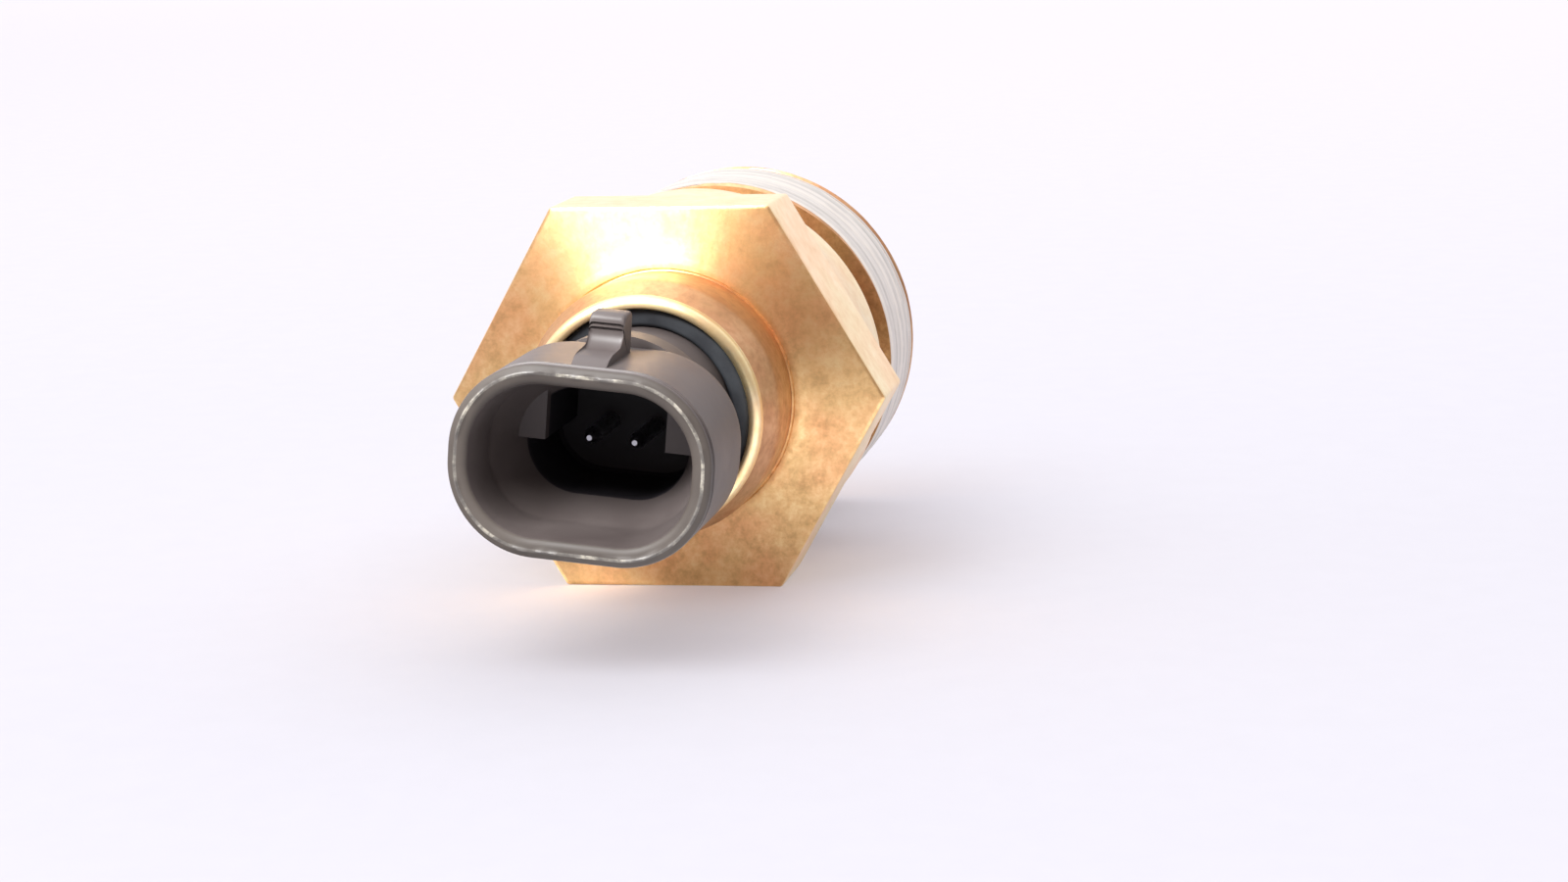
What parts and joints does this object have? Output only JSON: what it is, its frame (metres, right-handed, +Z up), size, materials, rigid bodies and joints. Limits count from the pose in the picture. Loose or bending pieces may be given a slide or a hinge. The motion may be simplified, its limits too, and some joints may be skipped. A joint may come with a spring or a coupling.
{
  "type": "pressure switch",
  "caption": "Brass hexagon-bodied pressure switch with an oval sealed connector, round pins and a parallel pipe thread carrying white sealant.",
  "frame": {"origin": "on the switch's axis, at the middle of the sealed length of the port thread", "axes": "+Y runs along the axis towards the port end and -Y towards the connector mouth; +Z is up with the switch lying on one flat of its hexagon; +X is to the right seen from the connector"},
  "size_m": [0.0312, 0.0552, 0.027],
  "materials": {
    "body_brass": "turned, bright, fine radial and circumferential tool marks",
    "thread_sealant": "waxy white sealant film with faint thread streaks",
    "connector_plastic": "moulded, satin, fine grain, slight flash on the rim",
    "terminal_tin": "tin plated, satin",
    "seal_rubber": "moulded, matt",
    "insulator_plastic": "moulded, natural colour",
    "contact_silver": "silver, polished",
    "rivet_brass": "turned",
    "spring_bronze": "rolled strip",
    "spring_steel": "drawn, bright",
    "inner_steel": "turned",
    "screen_steel": "etched",
    "diaphragm_film": "thin amber film"
  },
  "bodies": {
    "root": {"hex_body": "body_brass", "thread_sealant": "thread_sealant", "connector_housing": "connector_plastic", "terminal_pin_left": "terminal_tin", "terminal_pin_right": "terminal_tin", "flange_gasket": "seal_rubber", "housing_o_ring": "seal_rubber", "terminal_carrier": "insulator_plastic", "fixed_contact": "contact_silver", "contact_rivet": "rivet_brass", "guide_plate": "insulator_plastic", "snap_disc": "spring_steel", "spring_seat": "inner_steel", "guide_sleeve": "inner_steel", "range_spring": "spring_steel", "diaphragm": "diaphragm_film", "diaphragm_seal": "seal_rubber", "filter_screen": "screen_steel"},
    "piston": {"piston": "inner_steel"},
    "push_rod": {"push_rod": "insulator_plastic"},
    "contact_arm": {"contact_arm": "spring_bronze", "moving_contact": "contact_silver"}
  },
  "joints": [
    {"name": "piston_slide", "type": "slide", "parent": "root", "child": "piston", "axis": [0, -1, 0], "range_m": [0, 0.0004], "stiffness_N_per_m": 2000, "deforming": ["range_spring", "snap_disc", "diaphragm"]},
    {"name": "push_rod_slide", "type": "slide", "parent": "root", "child": "push_rod", "axis": [0, -1, 0], "range_m": [0, 0.0004]},
    {"name": "contact_arm_flex", "type": "hinge", "parent": "root", "child": "contact_arm", "pos_m": [-0.00052, -0.02105, -0.00477], "axis": [0.9942, 0, -0.108], "range_deg": [0, 4.8]}
  ],
  "couplings": [
    {"joint": "push_rod_slide", "follows": "piston_slide", "ratio": 1},
    {"joint": "contact_arm_flex", "follows": "piston_slide", "rad_per_m": 208.33}
  ]
}
